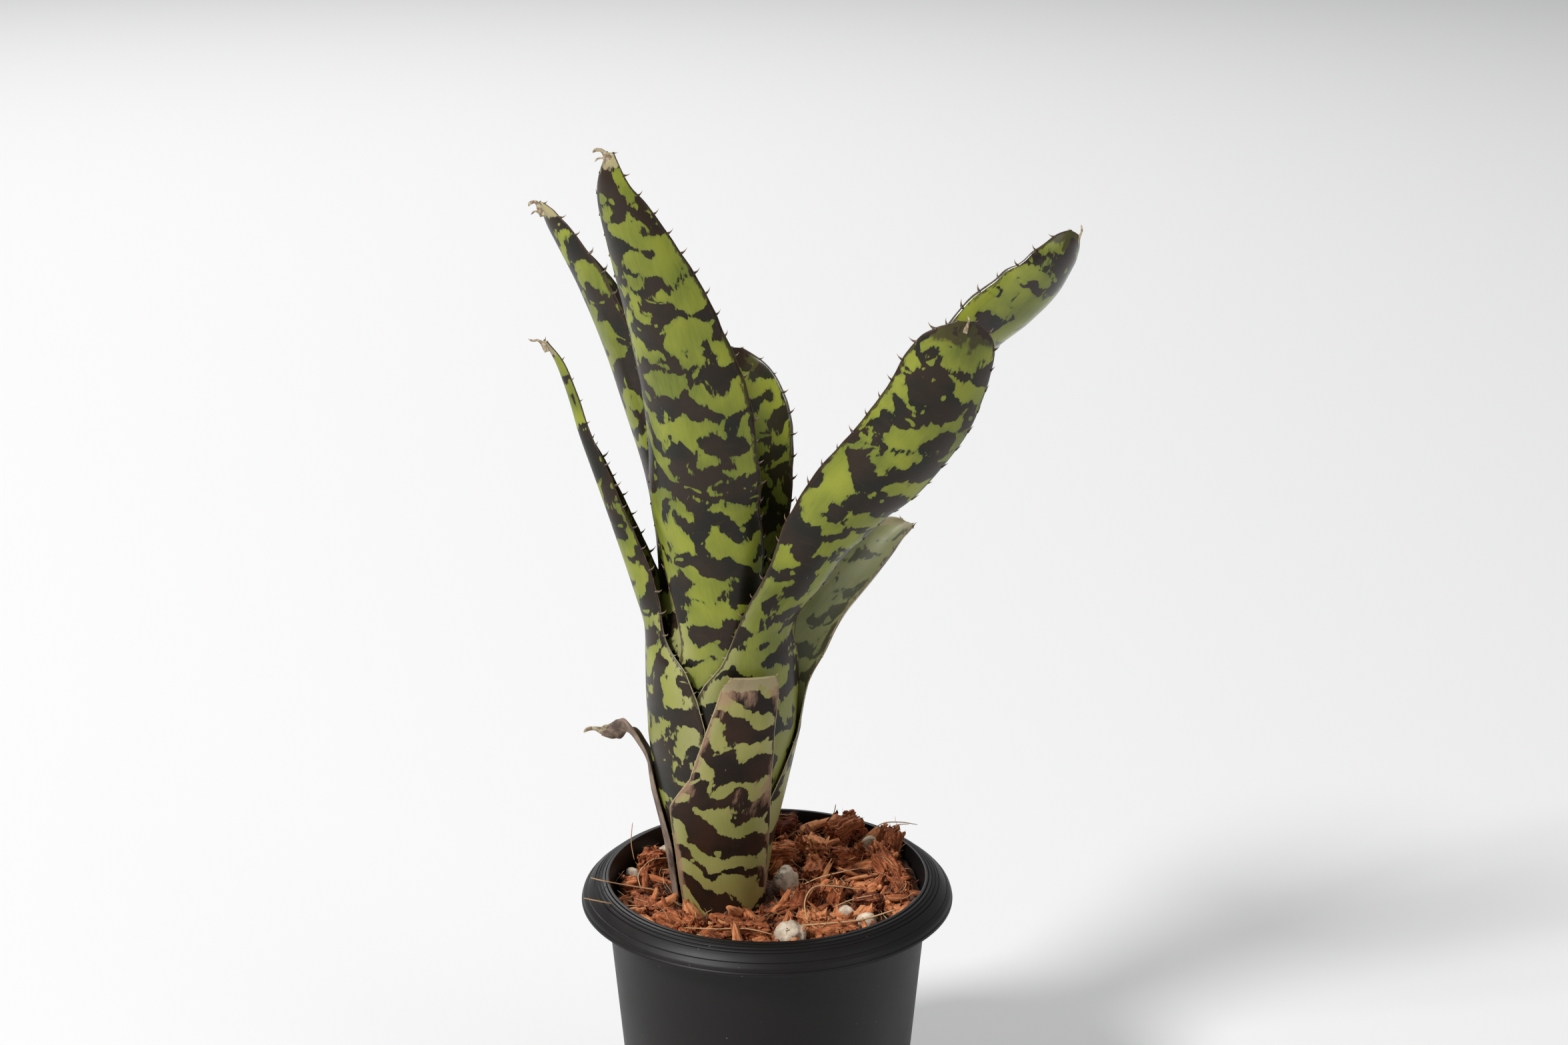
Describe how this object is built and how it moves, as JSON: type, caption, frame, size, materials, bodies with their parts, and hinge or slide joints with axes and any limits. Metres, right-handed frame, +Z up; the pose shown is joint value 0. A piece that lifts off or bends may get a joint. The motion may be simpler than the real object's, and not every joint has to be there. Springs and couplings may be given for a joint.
{
  "type": "potted bromeliad",
  "caption": "Potted tank bromeliad with spotted, spine-edged strap leaves rising from an upright tube, in bark and pumice mix in a round black plastic nursery pot.",
  "frame": {"origin": "centre of the underside of the pot, on the ground", "axes": "+Z up, the longest extent; +X towards the side that the two right-hand leaves lean to; -Y is the front, where the short old leaf is"},
  "size_m": [0.1646, 0.12, 0.3445],
  "materials": {
    "pot_plastic": "satin black, fine ring grooves, dusty",
    "coir_mix": "rough crumbly coir and bark",
    "coir_light": "fibrous orange-brown husk",
    "coir_dark": "fibrous dark brown husk",
    "pumice": "rough pitted off-white",
    "stem": "rough fibrous",
    "leaf_green": "satin yellow-green with dark brown-green patches",
    "leaf_inner": "satin dull grey-green",
    "leaf_old": "drying olive-beige with brown bands",
    "leaf_dry": "withered papery brown"
  },
  "bodies": {
    "root": {"pot": "pot_plastic", "potting_mix": "coir_mix", "stem": "stem", "leaf_dried": "leaf_dry", "leaf_front_old": "leaf_old", "leaf_right_back": "leaf_inner", "leaf_left": "leaf_green", "leaf_front_right": "leaf_green", "leaf_back": "leaf_green", "leaf_front_left": "leaf_green", "leaf_right": "leaf_green", "leaf_left_back": "leaf_green", "coir_chip_01": "coir_light", "coir_chip_02": "coir_dark", "coir_chip_03": "coir_light", "coir_chip_04": "coir_light", "coir_chip_05": "coir_light", "coir_chip_06": "coir_dark", "coir_chip_07": "coir_light", "coir_chip_08": "coir_light", "coir_chip_09": "coir_light", "coir_chip_10": "coir_dark", "coir_chip_11": "coir_light", "coir_chip_12": "coir_light", "coir_chip_13": "coir_light", "coir_chip_14": "coir_dark", "coir_chip_15": "coir_light", "coir_chip_16": "coir_light", "coir_chip_17": "coir_light", "coir_chip_18": "coir_dark", "coir_chip_19": "coir_light", "coir_chip_20": "coir_light", "coir_chip_21": "coir_light", "coir_chip_22": "coir_dark", "coir_chip_23": "coir_light", "coir_chip_24": "coir_light", "pumice_stone_1": "pumice", "pumice_stone_2": "pumice", "pumice_stone_3": "pumice", "pumice_stone_4": "pumice", "pumice_stone_5": "pumice", "pumice_stone_6": "pumice", "pumice_stone_7": "pumice", "pumice_stone_8": "pumice"}
  },
  "joints": []
}
